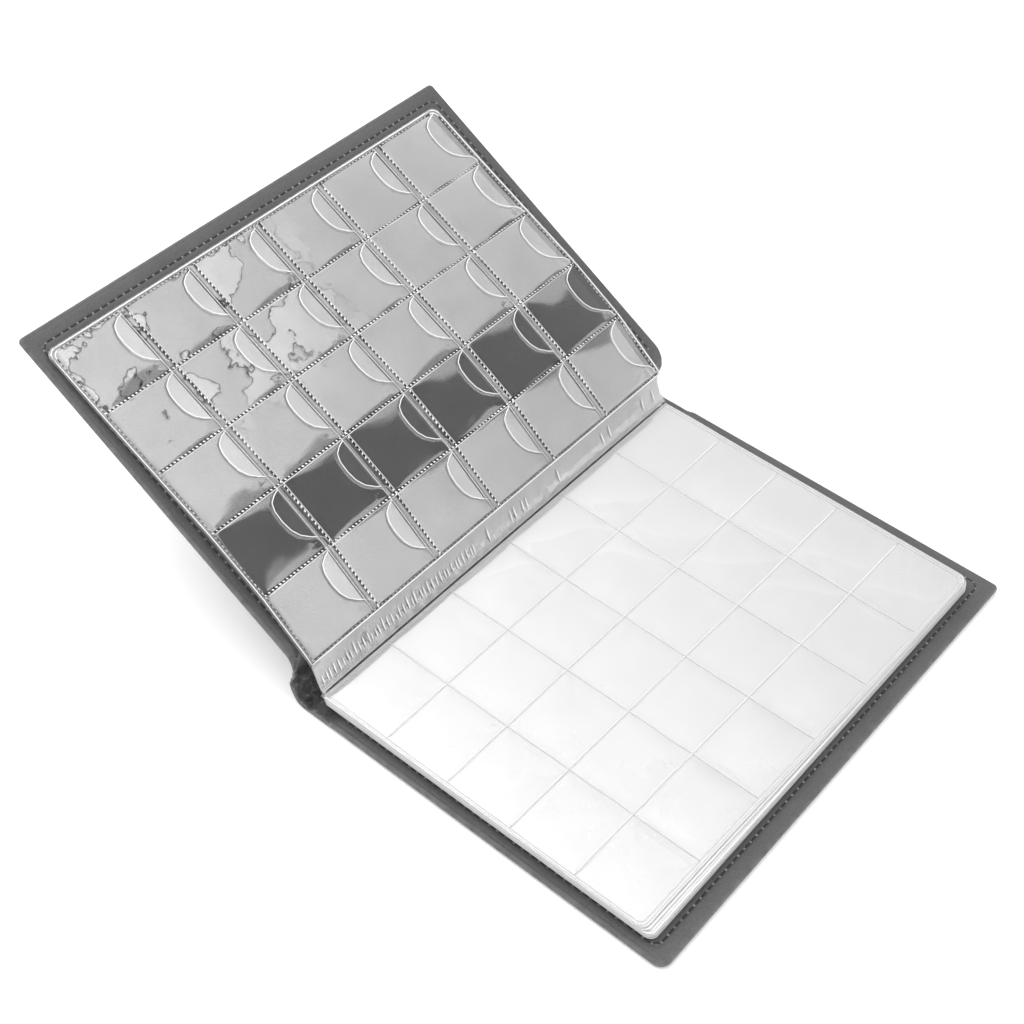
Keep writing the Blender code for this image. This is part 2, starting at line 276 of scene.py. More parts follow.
def film(name, clear, milk, roughness, body, patches=False):
    """Thin clear film. clear is how much it hides head on, milk the share that scatters instead of
    mirroring, and body the colour of what scatters. With patches it clings to the film behind it in places,
    where the mesh's "cling" value is above 0, and there it has painted reflections: thin dark outlines, and
    a little more opaque film inside them."""
    m = Nodes(name)
    weight = m.add("ShaderNodeLayerWeight", Blend=0.32)
    cloud = m.noise(60.0, 5.0)
    facing = m.ramp(weight.outputs["Fresnel"], clear, 1.0, 0.02, 1.0)
    uneven = 0.08 if milk < 0.5 else 0.03
    hidden = m.math("MULTIPLY", facing, m.ramp(cloud, 1 - uneven, 1 + uneven))
    tint = m.colours(cloud, [c * (1 - uneven / 3) for c in body], body)
    if patches:
        cling = m.add("ShaderNodeAttribute", attribute_name="cling").outputs["Fac"]
        field = m.noise(44.0, 4.0, 0.5)
        far = m.math("ABSOLUTE", m.math("SUBTRACT", field, 0.545), 0.0)
        # Painted reflection: where the film clings, dark outlines and a little more opaque film inside them.
        line = m.math("MULTIPLY", m.ramp(far, 1.0, 0.0, 0.003, 0.012), cling)
        inside = m.math("MULTIPLY", m.ramp(field, 0.0, 0.07, 0.545, 0.556), cling)
        hidden = m.math("MAXIMUM", m.math("ADD", hidden, inside), m.math("MULTIPLY", line, 0.5))
        painted_outline_tint = m.add("ShaderNodeMixRGB", blend_type="MIX")
        m.join(line, painted_outline_tint.inputs["Fac"])
        m.join(tint, painted_outline_tint.inputs["Color1"])
        painted_outline_tint.inputs["Color2"].default_value = (0.10, 0.10, 0.10, 1)
        tint = painted_outline_tint.outputs["Color"]
    through = m.add("ShaderNodeBsdfTransparent", Color=(0.99, 0.99, 0.99, 1))
    mix = m.add("ShaderNodeMixShader")
    m.join(hidden, mix.inputs["Fac"])
    m.join(through.outputs["BSDF"], mix.inputs[1])
    m.join(m.shader.outputs["BSDF"], mix.inputs[2])
    m.join(mix.outputs["Shader"], m.output.inputs["Surface"])
    m.join(tint, m.shader.inputs["Base Color"])
    m.shader.inputs["Metallic"].default_value = 1.0 - milk
    m.shader.inputs["IOR"].default_value = 1.53
    m.join(m.ramp(m.noise(35.0), roughness * 0.7, roughness * 1.4), m.shader.inputs["Roughness"])
    m.bump(((m.noise(110.0, 1.0), 0.00003, 0.35), (m.noise(430.0, 0.0), 0.000004, 0.15)))
    return m.material


LEATHERETTE = leatherette()
THREAD = thread()
NEEDLE_HOLE = needle_hole()
POCKET_FILM = film("pocket_film", 0.088, 0.22, 0.045, (0.93, 0.93, 0.93), patches=True)
CLEAR_FILM = film("clear_film", 0.088, 0.22, 0.045, (0.93, 0.93, 0.93))
OPEN_FILM = film("open_film", 0.205, 0.20, 0.05, (0.97, 0.97, 0.97))
PAGE_FILM = film("page_film", 0.45, 0.60, 0.10, (0.83, 0.83, 0.83))
STACKED_FILM = film("stacked_film", 0.72, 0.84, 0.12, (0.84, 0.84, 0.84))
GUTTER_FILM = film("gutter_film", 0.15, 0.40, 0.10, (0.92, 0.92, 0.92))
WELD_FILM = film("weld_film", 0.90, 0.85, 0.16, (0.98, 0.98, 0.98))
GREY_WELD = film("grey_weld", 0.45, 0.80, 0.16, (0.66, 0.66, 0.66))
# Painted shade: a dark film for the lines that refraction draws along the welds.
PAINTED_WELD_SHADE = film("painted_weld_shade", 0.85, 0.95, 0.25, (0.02, 0.02, 0.02))


# ---------------------------------------------------------------- mesh tools


class Build:
    """Vertices and faces gathered for one object, with a material number for each face."""

    def __init__(self):
        self.points = []
        self.faces = []
        self.numbers = []

    def grid(self, rows, number=0, around=False, bands=None):
        """Quads between rows of points of equal length. around joins each row's end to its start,
        and bands gives each step along a row its own material number."""
        base = len(self.points)
        wide = len(rows[0])
        for row in rows:
            self.points += [tuple(point) for point in row]
        for j in range(len(rows) - 1):
            for i in range(wide if around else wide - 1):
                k = (i + 1) % wide
                a = base + j * wide
                self.faces.append((a + i, a + k, a + wide + k, a + wide + i))
                self.numbers.append(bands[i] if bands else number)

    def tube(self, path, radius, number=0, sides=5, flat=0.7):
        """A bead along path, closed at both ends. path holds (point, up) pairs."""
        places = [Vector(point) for point, _ in path]
        rows = []
        for i, (_, up) in enumerate(path):
            along = places[min(i + 1, len(path) - 1)] - places[max(i - 1, 0)]
            across = along.cross(Vector(up)).normalized()
            rise = across.cross(along).normalized()
            end = i in (0, len(path) - 1)
            wide = radius * (0.45 if end else 1.0)
            ring = []
            for k in range(sides):
                a = 2 * math.pi * k / sides
                ring.append(places[i] + across * (wide * math.cos(a)) + rise * (wide * flat * math.sin(a)))
            rows.append(ring)
        base = len(self.points)
        self.grid(rows, number, around=True)
        last = base + sides * (len(rows) - 1)
        self.faces.append(tuple(range(base, base + sides))[::-1])
        self.faces.append(tuple(range(last, last + sides)))
        self.numbers += [number, number]

    def make(self, name, materials, smooth=True, thickness=0.0, cling=None):
        mesh = bpy.data.meshes.new(name)
        mesh.from_pydata(self.points, [], self.faces)
        for made in materials:
            mesh.materials.append(made)
        mesh.polygons.foreach_set("material_index", self.numbers)
        mesh.polygons.foreach_set("use_smooth", [smooth] * len(self.faces))
        mesh.update()
        if cling:
            paint(mesh, "cling", cling)
        obj = bpy.data.objects.new(name, mesh)
        bpy.context.scene.collection.objects.link(obj)
        if thickness:
            solid = obj.modifiers.new("film", "SOLIDIFY")
            solid.thickness = thickness
            solid.offset = 0.0
            bpy.context.view_layer.update()
            graph = bpy.context.evaluated_depsgraph_get()
            obj.data = bpy.data.meshes.new_from_object(obj.evaluated_get(graph))
            obj.modifiers.clear()
        return obj


def paint(mesh, name, values):
    """Gives each vertex a value that the materials read by that name."""
    mesh.attributes.new(name, "FLOAT", "POINT").data.foreach_set("value", values)


def ripple(x, y, z=0.0):
    return noise.noise(Vector((x, y, z)))


def smooth_step(t):
    t = min(1.0, max(0.0, t))
    return t * t * (3 - 2 * t)


def steps_between(start, end, most):
    """Evenly spaced values from start to end, no further apart than most."""
    count = max(1, math.ceil(abs(end - start) / most))
    return [start + (end - start) * i / count for i in range(count + 1)]


# ---------------------------------------------------------------- covers and wrap

EDGE_STEPS = [MM * s for s in (
    0, 0.06, 0.2, 0.42, 0.75, 1.1, 1.5, 1.85, 2.1, 2.35, 2.8, 3.6, 4.6, 5.05, 5.35, 5.6, 5.85,
    6.2, 6.6, 6.95, 7.2, 7.45, 7.8, 8.5, 9.8, 12.0,
)]


def front_place(reach, lift):
    """(x, z) of a point that far from the front hinge, at that height over the cover's outer face."""
    return (
        HINGE_X - reach * math.cos(TILT) + lift * math.sin(TILT),
        HINGE_Z + reach * math.sin(TILT) + lift * math.cos(TILT),
    )


def spine_curve():
    """The middle of the wrap's thickness between the two boards, as (x, z)."""
    flat_x = FOLD_X + 6 * MM
    mid = SPINE_HALF + 0.05 * MM
    knots = [
        (flat_x, mid),
        (FOLD_X + 1.6 * MM, mid + 0.05 * MM),
        (FOLD_X - 1.0 * MM, mid + 1.3 * MM),
        (FOLD_X - 3.0 * MM, mid + 4.4 * MM),
        (FOLD_X - 4.2 * MM, mid + 8.4 * MM),
        (FOLD_X - 3.8 * MM, mid + 12.2 * MM),
        (FOLD_X - 2.7 * MM, mid + 16.0 * MM),
        (FOLD_X - 2.2 * MM, mid + 19.4 * MM),
        (FOLD_X - 2.9 * MM, mid + 23.2 * MM),
        front_place(0.6 * MM, HALF_THICKNESS * 0.72),
        front_place(3.4 * MM, HALF_THICKNESS),
    ]
    points = []
    for i in range(len(knots) - 1):
        p0, p1 = knots[max(i - 1, 0)], knots[i]
        p2, p3 = knots[i + 1], knots[min(i + 2, len(knots) - 1)]
        for k in range(5):
            t = k / 5
            points.append(tuple(
                0.5 * (2 * b + (c - a) * t + (2 * a - 5 * b + 4 * c - d) * t * t
                       + (3 * b - a - 3 * c + d) * t ** 3)
                for a, b, c, d in zip(p0, p1, p2, p3)
            ))
    return points + [knots[-1]]


def wrap_stations():
    """Stations along the wrap, from the back cover's outer edge to the front cover's, as
    (x, z, half thickness, distance from the nearer outer edge, share of spine)."""
    board_end = COVER_WIDTH - 2.6 * MM
    offsets = EDGE_STEPS + steps_between(EDGE_STEPS[-1], board_end, 5 * MM)[1:]
    back = [(OUTER_X - a, HALF_THICKNESS, HALF_THICKNESS, a, 0.0) for a in offsets]
    ramp = []
    for a in steps_between(board_end, COVER_WIDTH + 5 * MM, 0.8 * MM)[1:]:
        t = smooth_step((a - board_end) / (6 * MM))
        half = HALF_THICKNESS + (SPINE_HALF - HALF_THICKNESS) * t
        ramp.append((OUTER_X - a, half + 0.05 * MM * t, half, a, t))
    flat = [
        (x, SPINE_HALF + 0.05 * MM, SPINE_HALF, OUTER_X - x, 1.0)
        for x in steps_between(ramp[-1][0], FOLD_X + 6 * MM, 1.2 * MM)[1:-1]
    ]
    spine = []
    curve = spine_curve()
    for i, (x, z) in enumerate(curve):
        t = smooth_step((i / (len(curve) - 1) - 0.82) / 0.18)
        half = SPINE_HALF + (HALF_THICKNESS - SPINE_HALF) * t
        spine.append((x, z, half, COVER_WIDTH, 1.0 - t))
    front = []
    for a in offsets[::-1]:
        reach = COVER_WIDTH - a
        if reach > 3.8 * MM:
            x, z = front_place(reach, HALF_THICKNESS)
            front.append((x, z, HALF_THICKNESS, a, 0.0))
    return back + ramp + flat + spine, front


def rounded_corner(a, b, radius):
    """(a, b) are distances in from two edges. Near the corner they move onto rings about it."""
    if a >= radius or b >= radius:
        return a, b
    inset, along = min(a, b), abs(a - b)
    ring = radius - inset
    angle = math.radians(45) * (1 - along / ring)
    near = radius - ring * math.cos(angle)
    far = radius - ring * math.sin(angle)
    return (near, far) if a <= b else (far, near)


def edge_height(d):
    """How much of the half thickness stands at a distance d in from the edge."""
    t = min(1.0, d / EDGE_ROLL)
    return math.sqrt(max(0.0, 1 - (1 - t) ** 2))


def face_detail(a, b, spine):
    """Small rises and dips of a cover's face at distances a and b in from two of its edges."""
    on_board = 1.0 - spine
    d = min(a, b)
    to_seam = min(a - SEAM_INSET, b - END_SEAM_INSET)
    seam = SEAM_DEPTH * math.exp(-((to_seam / (0.5 * MM)) ** 2))
    crease = 0.10 * MM * math.exp(-(((d - 2.1 * MM) / (0.3 * MM)) ** 2))
    puff = 0.10 * MM * math.exp(-(((d - 4.5 * MM) / (1.6 * MM)) ** 2))
    return (puff - seam - crease) * on_board


def crumple(x, y, z, spine):
    """How far the spine's skin is pushed out of its curve, most of all at its tail end."""
    ends = 0.45 + 0.55 * smooth_step((-y - 0.07) / 0.05)
    waves = ripple(x * 300 + z * 300, y * 90, 3.1) + 0.7 * abs(ripple(z * 420, y * 200, 7.7))
    return 0.75 * MM * spine * ends * waves


def wrap_piece(name, stations, tangents, outward):
    """A closed shell along these stations, over the album's full height. outward is 1 if the
    stations run towards an outer edge and -1 if they run away from one."""
    inward = EDGE_STEPS + steps_between(EDGE_STEPS[-1], HALF_HEIGHT, 3.2 * MM)[1:]
    offsets = [(-1, b) for b in inward] + [(1, b) for b in inward[-2::-1]]
    build = Build()
    faces = []
    for side in (1, -1):
        rows = []
        for (x, z, half, a, spine), (tx, tz) in zip(stations, tangents):
            row = []
            for sign, b in offsets:
                worn = outward < 0 and sign < 0
                a2, b2 = rounded_corner(a, b, TAIL_CORNER_RADIUS if worn else CORNER_RADIUS)
                d = min(a, b)
                y = sign * (HALF_HEIGHT - b2)
                lift = side * (half * edge_height(d) + face_detail(a, b, spine))
                lift += crumple(x, y, z, spine) * edge_height(d)
                lift += 0.05 * MM * ripple(x * 30, y * 30, 1.7 + z * 30)
                shift = outward * (a - a2)
                nx, nz = tz, -tx
                row.append((x + tx * shift + nx * lift, y, z + tz * shift + nz * lift))
            rows.append(row)
        faces.append(rows)
    inner, outer = faces
    wide = len(offsets)
    for j in range(len(stations)):
        for i in range(wide):
            a, b = stations[j][3], offsets[i][1]
            if min(a, b) == 0.0:
                mean = [(p + q) / 2 for p, q in zip(inner[j][i], outer[j][i])]
                inner[j][i] = outer[j][i] = tuple(mean)
    build.grid(inner)
    build.grid([row[::-1] for row in outer])
    obj = build.make(name, [LEATHERETTE])
    # edge lightens the rim in the leatherette (wear and a painted sheen); bend marks the spine's creased
    # skin, where the leatherette paints shade in fold valleys and highlights on crests.
    edges, bends = [], []
    for order in (1, -1):
        for *_, a, spine in stations:
            for sign, b in offsets[::order]:
                edges.append(math.exp(-min(a, b) / (0.9 * MM)))
                bends.append(spine * (0.25 + 0.75 * smooth_step((0.05 - b) / 0.05) * (sign < 0)))
    paint(obj.data, "edge", edges)
    paint(obj.data, "bend", bends)
    close_shell(obj)
    return obj


def close_shell(obj):
    """Joins the two faces along the free edges, and fills the end that meets the other piece."""
    bm = bmesh.new()
    bm.from_mesh(obj.data)
    bmesh.ops.remove_doubles(bm, verts=bm.verts, dist=0.01 * MM)
    bmesh.ops.holes_fill(bm, edges=[e for e in bm.edges if e.is_boundary], sides=0)
    bmesh.ops.recalc_face_normals(bm, faces=bm.faces)
    bm.to_mesh(obj.data)
    bm.free()


def build_wrap():
    """The leatherette of both covers and the spine, in two pieces that meet halfway up the spine."""
    first, last = wrap_stations()
    stations = first + last
    path = np.array([(x, z) for x, z, *_ in stations])
    tangents = np.gradient(path, axis=0)
    tangents /= np.linalg.norm(tangents, axis=1)[:, None]
    standing = [i for i, s in enumerate(stations) if s[4] == 1.0 and s[1] > 12 * MM]
    split = standing[0]
    lower = wrap_piece("wrap_back_cover", stations[: split + 1], tangents[: split + 1], -1)
    upper = wrap_piece("wrap_front_cover", stations[split:], tangents[split:], 1)
    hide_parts("back_cover_skin", "back_cover_lining", "back_cover_board", "spine_lining")
    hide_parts("front_cover_skin", "front_cover_lining", "front_cover_board", "spine_skin")
    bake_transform(lower)
    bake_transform(upper)


def seam_path():
    """The seam as (distance from the outer edge, y) points: a U along the tail, outer and head
    edges, with rounded corners."""
    inner = COVER_WIDTH - 4 * MM
    side = HALF_HEIGHT - END_SEAM_INSET
    points = [(inner, -side)]
    for corner, start in ((-1, 0), (1, 90)):
        for i in range(7):
            angle = math.radians(start + 15 * i)
            dip_a = SEAM_TURN * (1 - math.sin(angle))
            dip_y = SEAM_TURN * (1 - abs(math.cos(angle)))
            points.append((SEAM_INSET + dip_a, corner * (side - dip_y)))
    points.append((inner, side))
    return points


def seam_places(pitch):
    """Points and directions spaced evenly along the seam."""
    points = [Vector((a, y, 0)) for a, y in seam_path()]
    lengths = [0.0]
    for p, q in zip(points, points[1:]):
        lengths.append(lengths[-1] + (q - p).length)
    count = round(lengths[-1] / pitch)
    found = []
    for i in range(count + 1):
        at = lengths[-1] * i / count
        k = max(j for j in range(len(points) - 1) if lengths[j] <= at)
        span = lengths[k + 1] - lengths[k]
        t = (at - lengths[k]) / span if span else 0.0
        found.append((points[k].lerp(points[k + 1], t), (points[k + 1] - points[k]).normalized()))
    return found


def cover_point(cover, a, y, lift):
    """A point on a cover, a from its outer edge and lift from the middle of its thickness."""
    if cover == "back_cover":
        return Vector((OUTER_X - a, y, HALF_THICKNESS + lift))
    x, z = front_place(COVER_WIDTH - a, HALF_THICKNESS + lift)
    return Vector((x, y, z))


def build_seam(cover):
    """The thread's stitches on both faces of a cover, and the needle holes between them."""
    build = Build()
    up = (cover_point(cover, 0, 0, 1) - cover_point(cover, 0, 0, 0)).normalized()
    places = seam_places(SEAM_PITCH)
    for face in (1, -1):
        floor = HALF_THICKNESS - SEAM_DEPTH
        for (p, along), (q, _) in zip(places, places[1:]):
            wobble = 0.10 * MM * ripple(p.x * 900, p.y * 900, face)
            across = Vector((-along.y, along.x, 0)) * wobble
            path = []
            for k in range(7):
                t = 0.11 + 0.78 * k / 6
                spot = p.lerp(q, t) + across
                bow = 1 - (2 * k / 6 - 1) ** 4
                lift = face * (floor + (0.25 * bow - 0.10) * MM)
                path.append((cover_point(cover, spot.x, spot.y, lift), up * face))
            build.tube(path, THREAD_RADIUS, 0, sides=7, flat=0.75)
        for p, along in places:
            centre = cover_point(cover, p.x, p.y, face * (floor + 0.02 * MM))
            side = up.cross(Vector((0, 1, 0))).normalized()
            rows = []
            # The ring round each hole takes the needle_hole material, with its painted glints.
            for radius, lift in ((0.52, -0.03), (0.40, 0.20), (0.25, 0.16), (0.12, -0.10)):
                rows.append([
                    centre + up * (face * lift * MM)
                    + side * (radius * MM * math.cos(k * math.pi / 4))
                    + Vector((0, 1, 0)) * (radius * MM * math.sin(k * math.pi / 4))
                    for k in range(8)
                ])
            build.grid(rows if face > 0 else [row[::-1] for row in rows], 1, around=True)
    obj = build.make(cover + "_stitches", [THREAD, NEEDLE_HOLE])
    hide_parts(cover + "_thread")
    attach(obj, cover)


# ---------------------------------------------------------------- leaves


class Sheet:
    """A bent sheet: knots give (u, x, z), and lift is along the normal on its upper side."""

    def __init__(self, knots, soften=3 * MM, slide=0.0, drift=0.0, pull=0.0, short=0.0):
        """slide moves the whole sheet towards the head, drift only its pockets, pull draws its
        outer edge in, most of all near the tail, and short draws its head edge in."""
        self.slide, self.drift, self.pull, self.short = slide, drift, pull, short
        step = 0.5 * MM
        self.u = np.arange(-4 * MM, knots[-1][0] + 4 * MM, step)
        given = np.array(knots)
        x = self.spread(given[:, 0], given[:, 1])
        z = self.spread(given[:, 0], given[:, 2])
        reach = max(1, int(soften / step))
        window = np.hanning(2 * reach + 1)
        window /= window.sum()
        self.x = np.convolve(np.pad(x, reach, "reflect", reflect_type="odd"), window, "valid")
        self.z = np.convolve(np.pad(z, reach, "reflect", reflect_type="odd"), window, "valid")
        self.dx = np.gradient(self.x, self.u)
        self.dz = np.gradient(self.z, self.u)

    def spread(self, at, values):
        inside = np.interp(self.u, at, values)
        before = self.u < at[0]
        after = self.u > at[-1]
        first = (values[1] - values[0]) / (at[1] - at[0])
        last = (values[-1] - values[-2]) / (at[-1] - at[-2])
        inside[before] = values[0] + first * (self.u[before] - at[0])
        inside[after] = values[-1] + last * (self.u[after] - at[-1])
        return inside

    def normal(self, u):
        dx = np.interp(u, self.u, self.dx)
        dz = np.interp(u, self.u, self.dz)
        side = math.copysign(1.0, dx) / math.hypot(dx, dz)
        return Vector((-dz * side, 0, dx * side))

    def point(self, u, v, lift):
        n = self.normal(u)
        x = np.interp(u, self.u, self.x) + n.x * lift
        z = np.interp(u, self.u, self.z) + n.z * lift
        x -= self.pull * u / LEAF_WIDTH * (0.25 + 0.75 * smooth_step((0.08 - v) / 0.19))
        inside = 1 - min(1.0, abs(v - LEAF_SHIFT) / LEAF_HALF) ** 8
        y = v + self.slide + self.drift * inside
        y -= self.short * max(0.0, v - LEAF_SHIFT) / LEAF_HALF
        return Vector((float(x), y, float(z)))


def pocket_phase(u):
    """Where u falls across its pocket, from 0 at the weld nearer the spine to 1 at the next."""
    across = (u - INNER_MARGIN) / POCKET_WIDTH
    if across <= 0 or across >= COLUMNS:
        return 0.0
    return across % 1.0


def pillow(u, v):
    """0 on every weld and 1 in the middle of a pocket."""
    rise = ((v - FIRST_WELD) / POCKET_HEIGHT) % 1.0
    inside = 0 < v - FIRST_WELD < ROWS * POCKET_HEIGHT
    across = math.sin(math.pi * pocket_phase(u))
    return (max(0.0, across) * max(0.0, math.sin(math.pi * rise))) ** 0.6 if inside else 0.0


def mouth(u):
    """How far the mouth of a strip lies above its row's weld: a thumb notch, steepest outwards."""
    places, dips = zip(*THUMB_NOTCH)
    return POCKET_HEIGHT - MM * float(np.interp(pocket_phase(u), places, dips))


def pocket_gain(u, v, seed):
    """How full a pocket is: the outermost ones near the tail stand open the most."""
    column = math.floor((u - INNER_MARGIN) / POCKET_WIDTH)
    row = math.floor((v - FIRST_WELD) / POCKET_HEIGHT)
    own = 0.75 + 0.7 * ripple(column * 3.7 + seed, row * 5.3)
    return own + (0.35 if column >= COLUMNS - 1 and row < 3 else 0.0)


def clinging(u, v):
    """Where the pockets of leaf 1 cling to the film behind them: the outer ones near the tail. The pocket
    film paints dark outlines there as reflections.
    """
    return smooth_step((u - 80 * MM) / (30 * MM)) * smooth_step((0.03 - v) / (60 * MM))


def pocket_us():
    shares = [0, 0.03, 0.07, 0.10, 0.13, 0.16, 0.19, 0.22, 0.26, 0.32, 0.38, 0.44, 0.52, 0.59, 0.67,
              0.75, 0.81, 0.86, 0.89, 0.92, 0.945, 0.97, 0.985]
    us = [INNER_MARGIN + POCKET_WIDTH * (c + s) for c in range(COLUMNS) for s in shares]
    return us + [INNER_MARGIN + POCKET_WIDTH * COLUMNS]


def film_waves(u, v, seed):
    """Gentle unevenness of a film, so that its reflections break up."""
    slow = ripple(u * 42 + seed, v * 42, seed * 1.3)
    quick = ripple(u * 120, v * 120 + seed, seed * 2.1)
    return slow * 0.16 * MM + quick * 0.035 * MM


def leaf_outline_half(u):
    """Half the leaf's height at u, with its outer corners rounded."""
    past = max(0.0, u - (LEAF_WIDTH - LEAF_CORNER))
    return LEAF_HALF - LEAF_CORNER + math.sqrt(max(0.0, LEAF_CORNER ** 2 - past ** 2))


def base_us():
    us = [0.0] + pocket_us() + [LEAF_WIDTH - LEAF_CORNER]
    us += [LEAF_WIDTH - LEAF_CORNER * (1 - math.sin(math.pi / 2 * i / 6)) for i in range(1, 7)]
    return sorted(set(us))


def base_bands(u):
    """Stations over the leaf's height at u, and for each step whether a pocket leaves it open."""
    low, high = LEAF_SHIFT - LEAF_HALF, LEAF_SHIFT + LEAF_HALF
    vs = [low, low + 0.9 * MM]
    for row in range(ROWS):
        weld = FIRST_WELD + row * POCKET_HEIGHT
        flap = weld + POCKET_HEIGHT - FLAP
        top = min(weld + mouth(u), flap - 0.2 * MM)
        vs += [weld + (top - weld) * i / 6 for i in range(6)]
        vs += [top + (flap - top) * i / 4 for i in range(4)]
        vs += [flap, flap + FLAP / 2]
    vs += [FIRST_WELD + ROWS * POCKET_HEIGHT, high - 0.9 * MM, high]
    bands = [0, 0] + ([0] * 6 + [1] * 4 + [0] * 2) * ROWS + [0, 0]
    return vs, bands


def build_base(name, sheet, side, seed, bulge, materials):
    """The full film behind the pockets. side is 1 where the pockets lie over it, -1 under it."""
    rows = []
    for u in base_us():
        scale = leaf_outline_half(u) / LEAF_HALF
        row = []
        vs, bands = base_bands(u)
        for v in vs:
            puff = pillow(u, v) * pocket_gain(u, v, seed)
            lift = -side * (bulge * puff) + film_waves(u, v, seed) * (0.25 + 0.75 * puff)
            row.append(sheet.point(u, LEAF_SHIFT + (v - LEAF_SHIFT) * scale, lift))
        rows.append(row)
    build = Build()
    build.grid(rows, bands=bands)
    return build.make(name, materials, thickness=FILM_THICKNESS)


def strip_lift(u, v, low, weld, side, seed, bulge):
    """Height of a pocket strip over its base film, at u and v."""
    if v < weld:
        hang = (weld - v) / max(weld - low, 1e-6)
        loose = 0.14 * smooth_step(hang * 4) + 0.12 * hang * (1 + ripple(u * 60, weld * 9, seed))
        return side * (FILM_GAP + loose * MM)
    rise = (v - weld) / (POCKET_HEIGHT - 4.2 * MM)
    tuck = smooth_step((v - weld - POCKET_HEIGHT + FLAP) / (1.5 * MM) + 1)
    across = max(0.0, math.sin(math.pi * pocket_phase(u))) ** 0.6
    crown = math.sin(math.pi * min(1.0, rise * 0.62)) ** 0.7 if rise > 0 else 0.0
    full = pocket_gain(u, weld + POCKET_HEIGHT / 2, seed)
    waves = film_waves(u, v, seed + 5.5) * across * min(1.0, rise * 4)
    free = side * (FILM_GAP + bulge * full * across * crown) + waves
    return free * (1 - tuck) + side * TUCKED_GAP * tuck


def build_pockets(name, sheet, side, seed, bulge, material):
    """Six strips of five pockets, each with a bead along its mouth and its hanging flap."""
    build = Build()
    us = pocket_us()
    clings = []
    for row in range(ROWS):
        weld = FIRST_WELD + row * POCKET_HEIGHT
        low = weld - (FLAP if row else 1.2 * MM)
        columns = []
        for u in us:
            top = weld + mouth(u)
            vs = [low, (low + weld) / 2, weld - 0.3 * MM]
            vs += [weld + (top - weld) * (i / 13) for i in range(14)]
            columns.append([
                sheet.point(u, v, strip_lift(u, v, low, weld, side, seed + row, bulge)) for v in vs
            ])
            clings += [clinging(u, v) for v in vs]
        build.grid(columns)
    obj = build.make(name, [material], thickness=FILM_THICKNESS, cling=clings)
    beads = Build()
    for row in range(ROWS):
        weld = FIRST_WELD + row * POCKET_HEIGHT
        low = weld - FLAP if row else weld
        for edge in ("mouth", "flap"):
            if edge == "flap" and row == 0:
                continue
            path = []
            for u in us:
                v = weld + mouth(u) if edge == "mouth" else low
                lift = strip_lift(u, v, low, weld, side, seed + row, bulge)
                path.append((sheet.point(u, v, lift), sheet.normal(u) * side))
            beads.tube(path, (0.20 if edge == "mouth" else 0.13) * MM, 0, sides=6, flat=0.8)
    return obj, beads


def weld_line(build, sheet, start, end, lift, radius, dash=0.0, gap=0.0, slant=0.0, wobble=0.0):
    """A raised weld from start to end, both (u, v): one bead, or dashes where dash is set."""
    a, b = Vector((*start, 0)), Vector((*end, 0))
    length = (b - a).length
    across = Vector((-(b - a).y, (b - a).x, 0)).normalized()

    def spot(at, aside=0.0):
        p = a.lerp(b, at / length)
        p = p + across * (aside + wobble * ripple(at * 90, start[0] * 800 + start[1] * 300))
        return sheet.point(p.x, p.y, lift), sheet.normal(p.x)

    if not dash:
        build.tube([spot(at) for at in steps_between(0, length, 4 * MM)], radius, 0, flat=0.55)
        return
    for i in range(int(length / (dash + gap))):
        begin = (dash + gap) * i
        own = 0.9 + 0.35 * ripple(i * 0.37, start[0] * 500, start[1] * 500)
        path = [spot(begin + dash * own * k / 2, slant * (k - 1)) for k in range(3)]
        build.tube(path, radius * own, 0, flat=0.6)


def painted_weld_shade(build, sheet, start, end, lift, half_width):
    """A dark ribbon along a weld: painted shade for the dark line that refraction shows in the weld's flat
    channel.
    """
    a, b = Vector((*start, 0)), Vector((*end, 0))
    across = Vector((-(b - a).y, (b - a).x, 0)).normalized() * half_width
    rows = []
    for at in steps_between(0, (b - a).length, 4 * MM):
        p = a.lerp(b, at / (b - a).length)
        own = 0.75 + 0.8 * ripple(at * 110, start[0] * 700, start[1] * 300)
        rows.append([sheet.point((p + across * s * own).x, (p + across * s * own).y, lift) for s in (-1, 1)])
    build.grid(rows, 1)


def rope(build, sheet, start, end, lift, dash, radius, shade):
    """A weld as it looks close up: slanting dashes beside a thin bead, over a painted dark line of shade
    along its channel.
    """
    a, b = Vector((*start, 0)), Vector((*end, 0))
    across = Vector((-(b - a).y, (b - a).x, 0)).normalized()
    line = [tuple((p + across * (0.5 * ROPE_WIDTH))[:2]) for p in (a, b)]
    weld_line(build, sheet, *line, lift, 0.13 * MM, wobble=0.12 * MM)
    weld_line(
        build, sheet, start, end, lift + 0.10 * MM, radius, dash, DASH_GAP, slant=0.16 * ROPE_WIDTH
    )
    painted_weld_shade(build, sheet, start, end, lift + 0.03 * MM, shade)


def pocket_welds():
    """The welds between the pockets, as (start, end, dash, radius, half width of the painted dark line of
    shade).
    """
    far = INNER_MARGIN + COLUMNS * POCKET_WIDTH
    top = FIRST_WELD + ROWS * POCKET_HEIGHT
    welds = []
    for row in range(1, ROWS):
        v = FIRST_WELD + row * POCKET_HEIGHT
        welds.append(((INNER_MARGIN, v), (far, v), 1.2 * MM, 0.40 * MM, 0.62 * MM))
    for column in range(1, COLUMNS):
        u = INNER_MARGIN + column * POCKET_WIDTH
        welds.append(((u, FIRST_WELD), (u, top), 1.0 * MM, 0.38 * MM, 0.85 * MM))
    return welds


